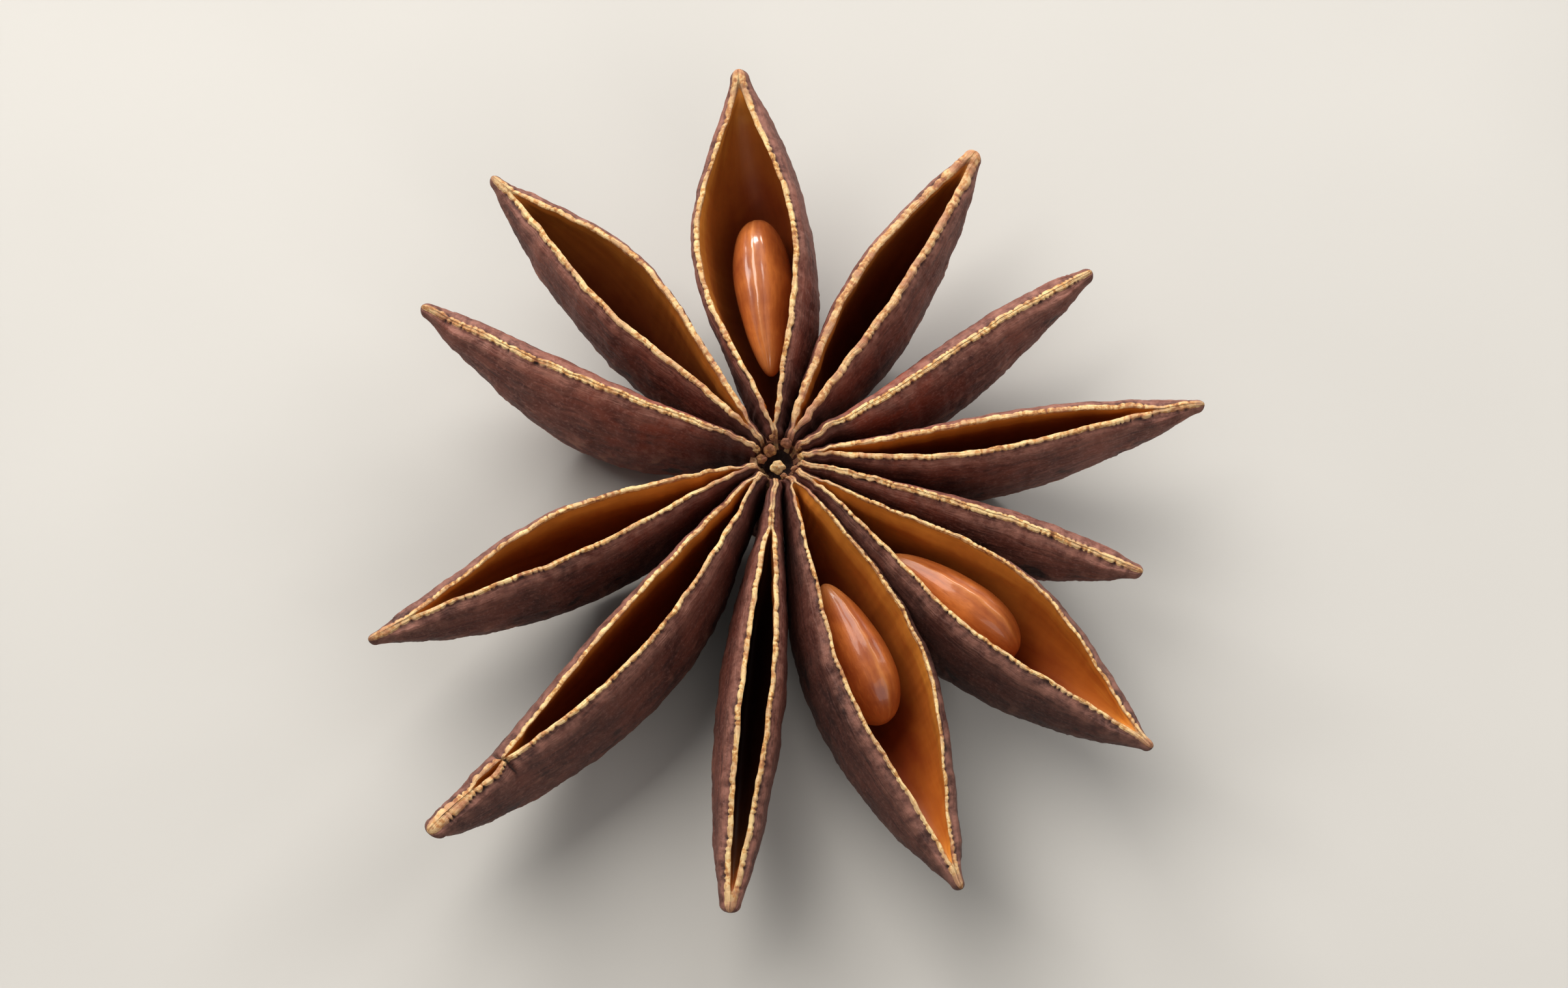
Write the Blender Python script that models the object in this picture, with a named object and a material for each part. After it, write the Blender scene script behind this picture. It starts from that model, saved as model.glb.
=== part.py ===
"""A whole dried star anise: twelve woody boat-shaped carpels grown round one short column, with the
three seeds that its widest carpels still hold.

Lengths are in millimetres until a mesh is made, +Z is up, and the fruit rests on its keels at z = 0.
Azimuth 0 points along +X and 90 along +Y. Seen outward from the column, +v is to the left.
"""

import math
from dataclasses import dataclass

import bmesh
import bpy
from mathutils import Vector

MM = 0.001

# The column in the middle, and where it stands under the outline's own middle.
HUB_X = -0.3
HUB_Y = 1.15
SEAM_TOP = 7.9
DIMPLE_RADIUS = 0.85
DIMPLE_DEPTH = 1.0
COLUMN_RADIUS = 1.35
COLUMN_FOOT = 3.0
BUTTON_RADIUS = 0.3
STALK_RADIUS = 0.85
STALK_FLARE = 1.6
STALK_END = 1.1
STALK_AZIMUTH = -113.0
STALK_DRIFT = 1.5
STALK_SINK = 0.6

# One carpel's wall, and the seam's two lips along its upper edge.
ROOT_RADIUS = 0.75
LIP = 0.5
WALL = 0.62
FLOOR = 0.85
SEED_FLOOR = 1.3
GROOVE_HALF = 0.12
GROOVE_DEPTH = 0.45
SEAM_ARCH = 0.35
SEAM_DIP = 0.5
SEAM_DIP_REACH = 1.6
KEEL_AT = 0.45
ROOT_DEPTH_SHARE = 0.62
CROWD_ROOM = 0.12
NEIGHBOUR_WITHIN = 90.0
TIP_DEPTH = 0.75
TIP_FROM = 0.9
LEAST_GIRTH = 0.6
LEAN_FROM = 0.35

# How the outlines swell and fade, as powers of the rise and the fall: a carpel's girth along it, and
# its flank's fullness down it. Then where the beak's taper starts to bite, and how gently the
# neighbours' pressure ends.
SWELL = (0.9, 1.15)
BULGE = (1.05, 0.75)
BEAK_FROM = 1.5
CROWD_EASE = 6.0

# How finely a carpel is cut: stations along it, and steps down each flank outside and inside.
STATIONS = 15
OUTER_STEPS = 6
INNER_STEPS = 5
KEEL_STRIP = 0.6
STATION_EASE = 0.35

# The dried skin's folds: their height, and how many run along a carpel and down its flank.
WRINKLE = 0.16
FOLDS_LONG = (3.6, 0.5)
FOLDS_CROSS = (1.3, 1.6)

# One seed, a flattened oval standing on its edge.
SEED_HEIGHT = 4.2
SEED_THICKNESS = 2.7
SEED_SINK = 0.85
SEED_DIP = 7.0
SEED_RINGS = 14
SEED_SEGMENTS = 16
SEED_RIDGE = 0.12
SEED_TAPER = 0.3

COLUMN_SIDES = 18
STALK_RINGS = 6
STALK_SIDES = 10
STALK_RIB = 0.1


@dataclass(frozen=True)
class Carpel:
    """One arm of the star. Lengths in millimetres, angles in degrees, shares of its length from 0 to 1."""

    azimuth: float
    reach: float
    rise: float
    gape: float
    gape_at: float
    bow: float
    girth: float
    lean: float
    clear: float
    blunt: float
    opens_at: float = 0.04
    closes_at: float = 1.0
    widening: float = 1.2
    narrowing: float = 1.2
    bow_at: float = 0.5
    sway: float = 0.0
    room: float = 1.0
    beak: float = 1.05
    seed_at: float = 0.0
    seed_aside: float = 0.0
    seed_length: float = 7.8
    seed_turn: float = 0.0


# Anticlockwise from the arm at the right. A gape of 0 is a carpel whose seam never opened, and a
# clear below 0 is a keel that the fruit stands on, worn flat there.
CARPELS = (
    Carpel(azimuth=6.2, reach=20.4, rise=0.4, gape=1.4, gape_at=0.47, bow=-0.35,
           girth=3.0, lean=3, clear=-0.2, blunt=0.7, closes_at=0.93, sway=0.22),
    Carpel(azimuth=31.8, reach=17.8, rise=-0.4, gape=0.0, gape_at=0.5, bow=-0.2,
           girth=2.8, lean=2, clear=0.5, blunt=0.9, sway=0.22),
    Carpel(azimuth=58.1, reach=18.2, rise=0.0, gape=1.9, gape_at=0.5, bow=0.4,
           girth=3.9, lean=0, clear=0.3, blunt=1.2, widening=0.9, narrowing=0.95),
    Carpel(azimuth=95.7, reach=19.7, rise=0.6, gape=4.7, gape_at=0.53, bow=0.5,
           girth=5.2, lean=9, clear=-0.2, blunt=1.2, widening=0.95, narrowing=1.45, seed_at=0.435,
           seed_aside=-0.1, seed_length=8.6),
    Carpel(azimuth=134.4, reach=19.9, rise=0.0, gape=2.9, gape_at=0.52, bow=-0.6,
           girth=3.9, lean=-3, clear=0.35, blunt=0.7, closes_at=0.98, widening=1.15, narrowing=1.5,
           bow_at=0.6),
    Carpel(azimuth=156.3, reach=18.7, rise=-0.4, gape=0.0, gape_at=0.5, bow=0.45,
           girth=3.4, lean=-6, clear=-0.2, blunt=0.9),
    Carpel(azimuth=205.7, reach=21.3, rise=-0.4, gape=2.4, gape_at=0.43, bow=-0.55,
           girth=3.5, lean=-3, clear=0.4, blunt=0.6, closes_at=0.95, widening=1.3, narrowing=1.7),
    Carpel(azimuth=228.6, reach=24.4, rise=-1.2, gape=1.95, gape_at=0.42, bow=0.85,
           girth=4.1, lean=-11, clear=-0.2, blunt=1.6, closes_at=0.82, widening=0.75, narrowing=1.0,
           beak=0.7, room=1.15),
    Carpel(azimuth=264.2, reach=21.9, rise=-2.2, gape=1.25, gape_at=0.5, bow=0.2,
           girth=3.2, lean=4, clear=0.6, blunt=1.3, opens_at=0.15, widening=0.8, narrowing=0.8, beak=0.9),
    Carpel(azimuth=292.1, reach=22.6, rise=-1.4, gape=4.2, gape_at=0.47, bow=0.65,
           girth=5.3, lean=10, clear=-0.2, blunt=0.7, widening=0.75, narrowing=1.55, bow_at=0.4,
           room=1.2, seed_at=0.425, seed_length=7.4, seed_turn=4),
    Carpel(azimuth=320.8, reach=22.6, rise=-1.0, gape=4.2, gape_at=0.5, bow=0.75,
           girth=5.35, lean=9, clear=-0.2, blunt=0.6, widening=1.4, narrowing=1.4, bow_at=0.55,
           seed_at=0.465, seed_aside=-0.05, seed_turn=4),
    Carpel(azimuth=341.7, reach=18.1, rise=-0.9, gape=0.0, gape_at=0.5, bow=0.25,
           girth=2.8, lean=3, clear=0.3, blunt=0.9, bow_at=0.65),
)


def smooth(low, high, value):
    """0 below low, 1 above high, and an even ease between them."""
    share = min(max((value - low) / (high - low), 0.0), 1.0)
    return share * share * (3.0 - 2.0 * share)


def hump(share, rise, fall):
    """From 0 to 1 and back to 0 over the shares from 0 to 1."""
    peak = rise / (rise + fall)
    return (share / peak) ** rise * ((1.0 - share) / (1.0 - peak)) ** fall


def crowding(carpel):
    """How wide a carpel may be for each millimetre out from the column: it shares the angle to its
    nearest neighbour with it, the stouter one taking more."""
    shares = []
    for other in CARPELS:
        turn = abs((other.azimuth - carpel.azimuth + 180.0) % 360.0 - 180.0)
        if other is not carpel and turn < NEIGHBOUR_WITHIN:
            shares.append(turn * carpel.girth / (carpel.girth + other.girth))
    return carpel.room * math.tan(math.radians(min(shares)))


def opening(carpel, t):
    """Half the clear width between the lips, 0 to 1 of the length out."""
    if carpel.gape == 0.0 or not carpel.opens_at < t < carpel.closes_at:
        return 0.0
    share = (t - carpel.opens_at) / (carpel.closes_at - carpel.opens_at)
    peak = (carpel.gape_at - carpel.opens_at) / (carpel.closes_at - carpel.opens_at)
    power = math.log(0.5) / math.log(peak)
    steep = carpel.widening if share < peak else carpel.narrowing
    return carpel.gape / 2.0 * math.sin(math.pi * share**power) ** steep


def seam_height(carpel, t):
    """Height of the seam over the ground."""
    dip = SEAM_DIP * math.exp(-((t * carpel.reach / SEAM_DIP_REACH) ** 2))
    return SEAM_TOP - dip + SEAM_ARCH * math.sin(math.pi * t) + carpel.rise * t**2.5


def depth(carpel, t):
    """Depth of the carpel under its seam: even at the root, full near its middle, a beak at the tip."""
    full = (seam_height(carpel, KEEL_AT) - carpel.clear) / math.cos(math.radians(carpel.lean))
    root = ROOT_DEPTH_SHARE + (1.0 - ROOT_DEPTH_SHARE) * math.sin(math.pi / 2.0 * min(t / KEEL_AT, 1.0))
    beak = (1.0 - (max(t - KEEL_AT, 0.0) / (1.0 - KEEL_AT)) ** BEAK_FROM) ** carpel.beak
    return TIP_DEPTH + (full - TIP_DEPTH) * root * beak


def half_girth(carpel, t):
    """Half the bulge of the flanks beyond the lips."""
    stout = max(carpel.girth / 2.0 - LIP / 2.0 - opening(carpel, t) / 2.0, LEAST_GIRTH)
    return 0.1 + stout * hump(t, *SWELL) + carpel.blunt / 5.0 * t**4


def squeeze(carpel, t):
    """Share by which the neighbours narrow the carpel close to the column."""
    out = ROOT_RADIUS + (carpel.reach - ROOT_RADIUS) * t
    edge = opening(carpel, t) + LIP
    natural = max(edge, 0.58 * edge + half_girth(carpel, t) + 0.5 * WRINKLE)
    room = (out * crowding(carpel) + CROWD_ROOM) / natural
    return (1.0 + room**-CROWD_EASE) ** (-1.0 / CROWD_EASE)


def wrinkle(carpel, t, q, side):
    """Height of the dried skin's folds, which fade out towards the seam."""
    phase = math.radians(carpel.azimuth) * 3.0 + side
    along = math.sin(2.0 * math.pi * (FOLDS_LONG[0] * t + FOLDS_LONG[1] * q) + phase)
    across = math.sin(2.0 * math.pi * (FOLDS_CROSS[0] * t + FOLDS_CROSS[1] * q) - phase)
    return WRINKLE * smooth(0.15, 0.7, q) * smooth(1.0, 0.8, t) * (0.6 * along + 0.4 * across)


def bowed(carpel, t):
    """How far aside the seam runs from the straight line over the keel."""
    power = math.log(0.5) / math.log(carpel.bow_at)
    arch = math.sin(math.pi * min(t, 0.999) ** power) ** 1.2
    return carpel.bow * arch - carpel.sway * math.sin(2.0 * math.pi * t)


def cross_section(carpel, t):
    """One closed loop of (v, w) points round the carpel: down the left flank, under the keel, up the
    right one, then down into the hollow or the seam's groove and back."""
    narrow = squeeze(carpel, t)
    half_open = opening(carpel, t) * narrow
    girth = half_girth(carpel, t) * narrow
    tip = smooth(TIP_FROM, 1.0, t)
    lip = LIP * narrow + (carpel.blunt / 4.0 - LIP * narrow) * tip
    groove = GROOVE_HALF * min(narrow * 1.3, 1.0) * (1.0 - 0.5 * tip)
    full = depth(carpel, t)
    opened = smooth(0.02, 0.4, half_open)
    floor = SEED_FLOOR if carpel.seed_at else FLOOR
    hollow_depth = GROOVE_DEPTH * (1.0 - 0.5 * tip) + (full - floor - GROOVE_DEPTH) * opened
    inner_edge = max(half_open, groove)
    outer_edge = inner_edge + lip

    def aside(down):
        return bowed(carpel, t) * (1.0 - down / full)

    def skin(q):
        return outer_edge * (1.0 - q) + girth * hump(q, *BULGE)

    def lining(down):
        share, q = down / hollow_depth, down / full
        wall = lip + (WALL - lip) * smooth(0.0, 0.15, q)
        groove_side = inner_edge * (1.0 - share**2.2)
        hollow_side = max(skin(q) - wall, 0.0) * math.sqrt(1.0 - share**4)
        return groove_side + (hollow_side - groove_side) * opened

    loop = []
    # Both flanks stop short of the middle, which leaves one level strip under the keel.
    shares = [step + 0.0 for step in range(OUTER_STEPS)] + [OUTER_STEPS - KEEL_STRIP]
    keel = (1.0 - math.cos(math.pi * shares[-1] / OUTER_STEPS)) / 2.0
    for side in (1.0, -1.0):
        points = []
        for share in shares:
            q = (1.0 - math.cos(math.pi * share / OUTER_STEPS)) / 2.0
            down = full / keel * q
            fold = wrinkle(carpel, t, q, side) * narrow
            points.append((side * (skin(q) + fold * (1.0 - q * 0.6)) + aside(down), -down))
        loop += points if side > 0 else points[::-1]
    for side in (-1.0, 1.0):
        points = []
        for step in range(INNER_STEPS):
            down = hollow_depth * (1.0 - math.cos(math.pi * step / INNER_STEPS)) / 2.0
            points.append((side * lining(down) + aside(down), -down))
        loop += points if side < 0 else [(aside(hollow_depth), -hollow_depth)] + points[::-1]
    return loop


def carpel_frame(carpel):
    """The carpel's outward and sideways directions."""
    turn = math.radians(carpel.azimuth)
    return Vector((math.cos(turn), math.sin(turn), 0.0)), Vector((-math.sin(turn), math.cos(turn), 0.0))


def seam_point(carpel, t):
    """The point over the keel at the seam's height, in the fruit's own frame."""
    outward, _ = carpel_frame(carpel)
    out = ROOT_RADIUS + (carpel.reach - ROOT_RADIUS) * t
    return Vector((HUB_X, HUB_Y, seam_height(carpel, t))) + outward * out


def carpel_ring(carpel, t):
    """The section at t as points in the fruit's own frame, leaned over, and kept off the ground."""
    _, sideways = carpel_frame(carpel)
    lean = math.radians(carpel.lean) * smooth(0.0, LEAN_FROM, t)
    across = sideways * math.cos(lean) - Vector((0.0, 0.0, math.sin(lean)))
    upward = Vector((0.0, 0.0, math.cos(lean))) + sideways * math.sin(lean)
    middle = seam_point(carpel, t)
    ring = [middle + across * v + upward * w for v, w in cross_section(carpel, t)]
    for point in ring:
        point.z = max(point.z, 0.0)
    return ring


def make_object(name, bm, material, crease=35.0):
    """Turns a bmesh in millimetres into a shaded object in metres."""
    bmesh.ops.scale(bm, vec=(MM, MM, MM), verts=bm.verts)
    bmesh.ops.recalc_face_normals(bm, faces=bm.faces)
    mesh = bpy.data.meshes.new(name)
    bm.to_mesh(mesh)
    bm.free()
    mesh.shade_smooth()
    mesh.set_sharp_from_angle(angle=math.radians(crease))
    mesh.materials.append(material)
    made = bpy.data.objects.new(name, mesh)
    bpy.context.scene.collection.objects.link(made)
    return made


def loft(bm, rings):
    """Skins equal rings one after another and closes both ends."""
    made = [[bm.verts.new(point) for point in ring] for ring in rings]
    for near, far in zip(made, made[1:]):
        for i in range(len(near)):
            j = (i + 1) % len(near)
            bm.faces.new((near[i], near[j], far[j], far[i]))
    bm.faces.new(made[0][::-1])
    bm.faces.new(made[-1])
    bm.normal_update()
    bmesh.ops.triangulate(bm, faces=bm.faces, ngon_method="EAR_CLIP")


def make_carpel(index, carpel, material):
    """One carpel as a closed boat, or as a closed pod with a grooved seam."""
    bm = bmesh.new()
    shares = [step / (STATIONS - 1) for step in range(STATIONS)]
    eased = [share + STATION_EASE * (share * share - share) * (1.0 - 2.0 * share) for share in shares]
    loft(bm, [carpel_ring(carpel, t) for t in eased])
    return make_object(f"carpel_{index:02d}", bm, material)


def turned(bm, profile, segments, centre):
    """A turned solid from (radius, height) pairs, first and last on its axis."""
    rings = []
    for radius, height in profile[1:-1]:
        ring = []
        for step in range(segments):
            turn = 2.0 * math.pi * step / segments
            ring.append((centre.x + radius * math.cos(turn), centre.y + radius * math.sin(turn), height))
        rings.append([bm.verts.new(point) for point in ring])
    first = bm.verts.new((centre.x, centre.y, profile[0][1]))
    last = bm.verts.new((centre.x, centre.y, profile[-1][1]))
    for i in range(segments):
        j = (i + 1) % segments
        bm.faces.new((first, rings[0][j], rings[0][i]))
        bm.faces.new((last, rings[-1][i], rings[-1][j]))
        for near, far in zip(rings, rings[1:]):
            bm.faces.new((near[i], near[j], far[j], far[i]))


def make_column(material):
    """The column that carries the carpels, with the dried dimple and its button at the top."""
    bm = bmesh.new()
    rim = SEAM_TOP - 0.75
    floor = rim - DIMPLE_DEPTH
    profile = [
        (0.0, floor + 2.0 * BUTTON_RADIUS),
        (BUTTON_RADIUS * 0.8, floor + 1.7 * BUTTON_RADIUS),
        (BUTTON_RADIUS, floor + BUTTON_RADIUS),
        (BUTTON_RADIUS * 1.1, floor),
        (DIMPLE_RADIUS * 0.8, floor + 0.25),
        (DIMPLE_RADIUS, rim),
        (COLUMN_RADIUS, rim - 0.2),
        (COLUMN_RADIUS * 1.1, 5.0),
        (STALK_FLARE * 1.1, COLUMN_FOOT + 0.5),
        (STALK_FLARE, COLUMN_FOOT),
        (0.0, COLUMN_FOOT),
    ]
    turned(bm, profile, COLUMN_SIDES, Vector((HUB_X, HUB_Y)))
    return make_object("column", bm, material)


def make_stalk(material):
    """The broken stub of the fruit's stalk under the column."""
    bm = bmesh.new()
    turn = math.radians(STALK_AZIMUTH)
    drift = Vector((math.cos(turn), math.sin(turn), 0.0)) * STALK_DRIFT
    rings = []
    top = COLUMN_FOOT + STALK_SINK
    for step in range(STALK_RINGS):
        t = step / (STALK_RINGS - 1)
        centre = Vector((HUB_X, HUB_Y, top + (STALK_END - top) * t)) + drift * t**1.8
        radius = STALK_RADIUS + (STALK_FLARE - STALK_RADIUS) * (1.0 - t) ** 2.2
        ring = []
        for side in range(STALK_SIDES):
            angle = 2.0 * math.pi * side / STALK_SIDES
            rib = 1.0 + STALK_RIB * math.cos(STALK_SIDES / 2.0 * angle)
            ring.append(centre + Vector((math.cos(angle), math.sin(angle), 0.0)) * radius * rib)
        rings.append(ring)
    loft(bm, rings)
    return make_object("stalk", bm, material)


def make_husk(material):
    """Every carpel grown into the column as one woody body."""
    husk = make_column(material)
    husk.name = "husk"
    husk.data.name = "husk"
    grown = bpy.data.collections.new("grown_together")
    bpy.context.scene.collection.children.link(grown)
    pieces = [make_carpel(index, carpel, material) for index, carpel in enumerate(CARPELS, 1)]
    pieces.append(make_stalk(material))
    for piece in pieces:
        bpy.context.scene.collection.objects.unlink(piece)
        grown.objects.link(piece)
    union = husk.modifiers.new("grown_together", "BOOLEAN")
    union.operation = "UNION"
    union.operand_type = "COLLECTION"
    union.collection = grown
    union.solver = "EXACT"
    bpy.context.view_layer.objects.active = husk
    bpy.ops.object.modifier_apply(modifier=union.name)
    for piece in pieces:
        bpy.data.objects.remove(piece)
    bpy.data.collections.remove(grown)
    return husk


def make_seed(name, carpel, material):
    """One seed standing on edge in its carpel: blunt at the outer end, tapered to the column."""
    t = carpel.seed_at
    outward, sideways = carpel_frame(carpel)
    lean = math.radians(carpel.lean)
    across = sideways * math.cos(lean) - Vector((0.0, 0.0, math.sin(lean)))
    upward = Vector((0.0, 0.0, math.cos(lean))) + sideways * math.sin(lean)
    full = depth(carpel, t)
    down = SEED_SINK + SEED_HEIGHT / 2.0
    aside = bowed(carpel, t) * (1.0 - down / full) + carpel.seed_aside
    tilt = bowed(carpel, t) / full
    centre = seam_point(carpel, t) + across * aside - upward * down
    across, upward = (across - upward * tilt).normalized(), (upward + across * tilt).normalized()
    turn = math.radians(carpel.seed_turn)
    outward, across = (outward * math.cos(turn) + across * math.sin(turn),
                       across * math.cos(turn) - outward * math.sin(turn))
    dip = math.radians(SEED_DIP)
    outward, upward = (outward * math.cos(dip) - upward * math.sin(dip),
                       upward * math.cos(dip) + outward * math.sin(dip))
    bm = bmesh.new()
    rings = []
    for step in range(1, SEED_RINGS):
        turn = math.pi * step / SEED_RINGS
        along = -math.cos(turn)
        taper = 1.0 + SEED_TAPER * along
        ring = []
        for side in range(SEED_SEGMENTS):
            angle = 2.0 * math.pi * side / SEED_SEGMENTS
            ridge = SEED_RIDGE * max(math.cos(angle), 0.0) ** 8 * math.sin(turn)
            high = math.cos(angle) * (SEED_HEIGHT / 2.0 * math.sin(turn) * taper + ridge)
            wide = math.sin(angle) * SEED_THICKNESS / 2.0 * math.sin(turn) * taper
            ring.append(centre + outward * along * carpel.seed_length / 2.0 + upward * high + across * wide)
        rings.append([bm.verts.new(point) for point in ring])
    root = bm.verts.new(centre - outward * carpel.seed_length / 2.0)
    nose = bm.verts.new(centre + outward * carpel.seed_length / 2.0)
    for i in range(SEED_SEGMENTS):
        j = (i + 1) % SEED_SEGMENTS
        bm.faces.new((root, rings[0][j], rings[0][i]))
        bm.faces.new((nose, rings[-1][i], rings[-1][j]))
        for near, far in zip(rings, rings[1:]):
            bm.faces.new((near[i], near[j], far[j], far[i]))
    return make_object(name, bm, material, crease=60.0)


def make_material(name, colour, roughness):
    """A plain dielectric finish."""
    material = bpy.data.materials.new(name)
    material.use_nodes = True
    shader = material.node_tree.nodes["Principled BSDF"]
    shader.inputs["Base Color"].default_value = (*colour, 1.0)
    shader.inputs["Roughness"].default_value = roughness
    shader.inputs["Metallic"].default_value = 0.0
    return material


def main():
    for old in list(bpy.data.objects):
        bpy.data.objects.remove(old)
    husk_finish = make_material("woody_husk", (0.12, 0.042, 0.022), 0.6)
    seed_finish = make_material("glossy_seed", (0.42, 0.12, 0.03), 0.2)
    make_husk(husk_finish)
    holders = [carpel for carpel in CARPELS if carpel.seed_at > 0.0]
    for number, carpel in enumerate(holders, 1):
        make_seed(f"seed_{number}", carpel, seed_finish)


main()
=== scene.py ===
"""Dresses a packed star anise: twelve woody carpels, their column and stalk stub, and three seeds.

Shapes are worked out in millimetres and turned into metres as each mesh is made. Azimuth 0 points
along +X and 90 along +Y. Seen outward from the column, +v is to the left.
"""

import logging
import math
from dataclasses import dataclass, fields
from enum import Enum

import bpy
import numpy as np
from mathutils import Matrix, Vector


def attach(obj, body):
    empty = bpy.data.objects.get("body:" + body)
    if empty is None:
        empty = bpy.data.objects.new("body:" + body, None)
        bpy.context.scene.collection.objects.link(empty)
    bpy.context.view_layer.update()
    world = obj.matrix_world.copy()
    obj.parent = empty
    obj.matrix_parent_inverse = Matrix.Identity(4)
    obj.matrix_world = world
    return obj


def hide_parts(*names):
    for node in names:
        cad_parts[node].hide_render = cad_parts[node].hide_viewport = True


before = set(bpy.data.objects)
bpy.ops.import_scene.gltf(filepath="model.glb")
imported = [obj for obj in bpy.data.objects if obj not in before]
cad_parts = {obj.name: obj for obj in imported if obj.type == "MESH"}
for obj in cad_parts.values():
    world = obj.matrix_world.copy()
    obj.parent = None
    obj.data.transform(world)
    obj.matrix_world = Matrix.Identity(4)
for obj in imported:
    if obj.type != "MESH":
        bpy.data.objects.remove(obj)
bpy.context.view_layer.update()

LOG = logging.getLogger("star_anise")

MM = 0.001

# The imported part's own sizes, from which its solids are made too.
SEAM_TOP = 7.9
SEAM_ARCH = 0.35
SEAM_DIP = 0.5
SEAM_DIP_REACH = 1.6
ROOT_RADIUS = 0.75
LIP = 0.5
WALL = 0.62
FLOOR = 0.85
SEED_FLOOR = 1.3
KEEL_AT = 0.45
ROOT_DEPTH_SHARE = 0.62
CROWD_ROOM = 0.12
CROWD_EASE = 6.0
NEIGHBOUR_WITHIN = 90.0
LEAST_GIRTH = 0.6
LEAN_FROM = 0.35
TIP_DEPTH = 0.75
TIP_FROM = 0.9
SWELL = (0.9, 1.15)
BULGE = (1.05, 0.75)
BEAK_FROM = 1.5
WRINKLE = 0.16
SEED_HEIGHT = 4.2
SEED_THICKNESS = 2.7
SEED_SINK = 0.85
SEED_DIP = 7.0
SEED_TAPER = 0.3

# How much further the dressed seam sinks right at the column.
ROOT_DIP = 1.3
ROOT_DIP_REACH = 0.55

Array = np.ndarray
Triple = tuple[float, float, float]
Socket = bpy.types.NodeSocket

# The foot of the column's middle line.
HUB = np.array([-0.3, 1.15, 0.0])


def shade(code: str) -> tuple[float, float, float, float]:
    """Turns a colour written as six hexadecimal digits into linear red, green, blue and alpha.

    Args:
        code: The colour as it looks on a screen, such as "c98f4e".

    Returns:
        The four linear channels.
    """
    channels = [int(code[i : i + 2], 16) / 255.0 for i in (0, 2, 4)]
    linear = [c / 12.92 if c <= 0.04045 else ((c + 0.055) / 1.055) ** 2.4 for c in channels]
    return (linear[0], linear[1], linear[2], 1.0)


def smooth(low: float, high: float, value: Array | float) -> Array:
    """Eases from 0 to 1 as a value goes from one limit to the other.

    Args:
        low: The value at which the result is 0.
        high: The value at which the result is 1.
        value: One value or many.

    Returns:
        The eased shares.
    """
    share = np.clip((np.asarray(value, dtype=float) - low) / (high - low), 0.0, 1.0)
    return share * share * (3.0 - 2.0 * share)


@dataclass(frozen=True)
class Axes:
    """Three directions at right angles: outward from the column, across to the left, and upward."""

    outward: Array
    across: Array
    upward: Array

    @staticmethod
    def towards(azimuth: float) -> "Axes":
        """Gives the upright axes of an arm at this azimuth in degrees."""
        turn = math.radians(azimuth)
        outward = np.array([math.cos(turn), math.sin(turn), 0.0])
        return Axes(outward, np.array([-outward[1], outward[0], 0.0]), np.array([0.0, 0.0, 1.0]))

    def leaned(self, angle: Array | float) -> "Axes":
        """Turns them about the outward one, with the top over to the left."""
        c, s = np.cos(angle), np.sin(angle)
        return Axes(self.outward, self.across * c - self.upward * s, self.upward * c + self.across * s)

    def swung(self, angle: float) -> "Axes":
        """Turns them about the upward one, with the outer end over to the left."""
        c, s = math.cos(angle), math.sin(angle)
        return Axes(self.outward * c + self.across * s, self.across * c - self.outward * s, self.upward)

    def dipped(self, angle: float) -> "Axes":
        """Turns them about the one across, with the outer end down."""
        c, s = math.cos(angle), math.sin(angle)
        return Axes(self.outward * c - self.upward * s, self.across, self.upward * c + self.outward * s)


class Grain:
    """A seeded smooth noise in space, for the relief of dried skin."""

    def __init__(self, seed: int) -> None:
        """Shuffles the table that the noise is read from.

        Args:
            seed: Any whole number: the same one gives the same noise.
        """
        draw = np.random.RandomState(seed)
        self.table = np.concatenate([draw.permutation(256)] * 2)
        leaning = draw.normal(size=(256, 3))
        self.leaning = leaning / np.linalg.norm(leaning, axis=1, keepdims=True)

    def at(self, points: Array) -> Array:
        """Reads the noise.

        Args:
            points: Places, with x, y and z along the last axis.

        Returns:
            A value from about -1 to 1 for each place.
        """
        cell = np.floor(points).astype(int)
        inside = points - cell
        ease = inside**3 * (inside * (inside * 6.0 - 15.0) + 10.0)
        total = np.zeros(points.shape[:-1])
        for corner in range(8):
            step = np.array([corner & 1, corner >> 1 & 1, corner >> 2 & 1])
            x, y, z = np.moveaxis((cell + step) & 255, -1, 0)
            leaning = self.leaning[self.table[self.table[self.table[x] + y] + z]]
            pull = np.sum(leaning * (inside - step), axis=-1)
            total += pull * np.prod(np.where(step == 1, ease, 1.0 - ease), axis=-1)
        return total * 1.6

    def folds(self, points: Array, octaves: int = 3) -> Array:
        """Reads ridged noise, whose crests are sharp and whose troughs are round.

        Args:
            points: Places, with x, y and z along the last axis.
            octaves: How many finer layers are added.

        Returns:
            A value from about 0 to 1 for each place.
        """
        total = np.zeros(points.shape[:-1])
        weight = 0.0
        for layer in range(octaves):
            strength = 0.5**layer
            total += strength * (1.0 - np.abs(self.at(points * 2.0**layer + 17.3 * layer))) ** 2
            weight += strength
        return total / weight


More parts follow.
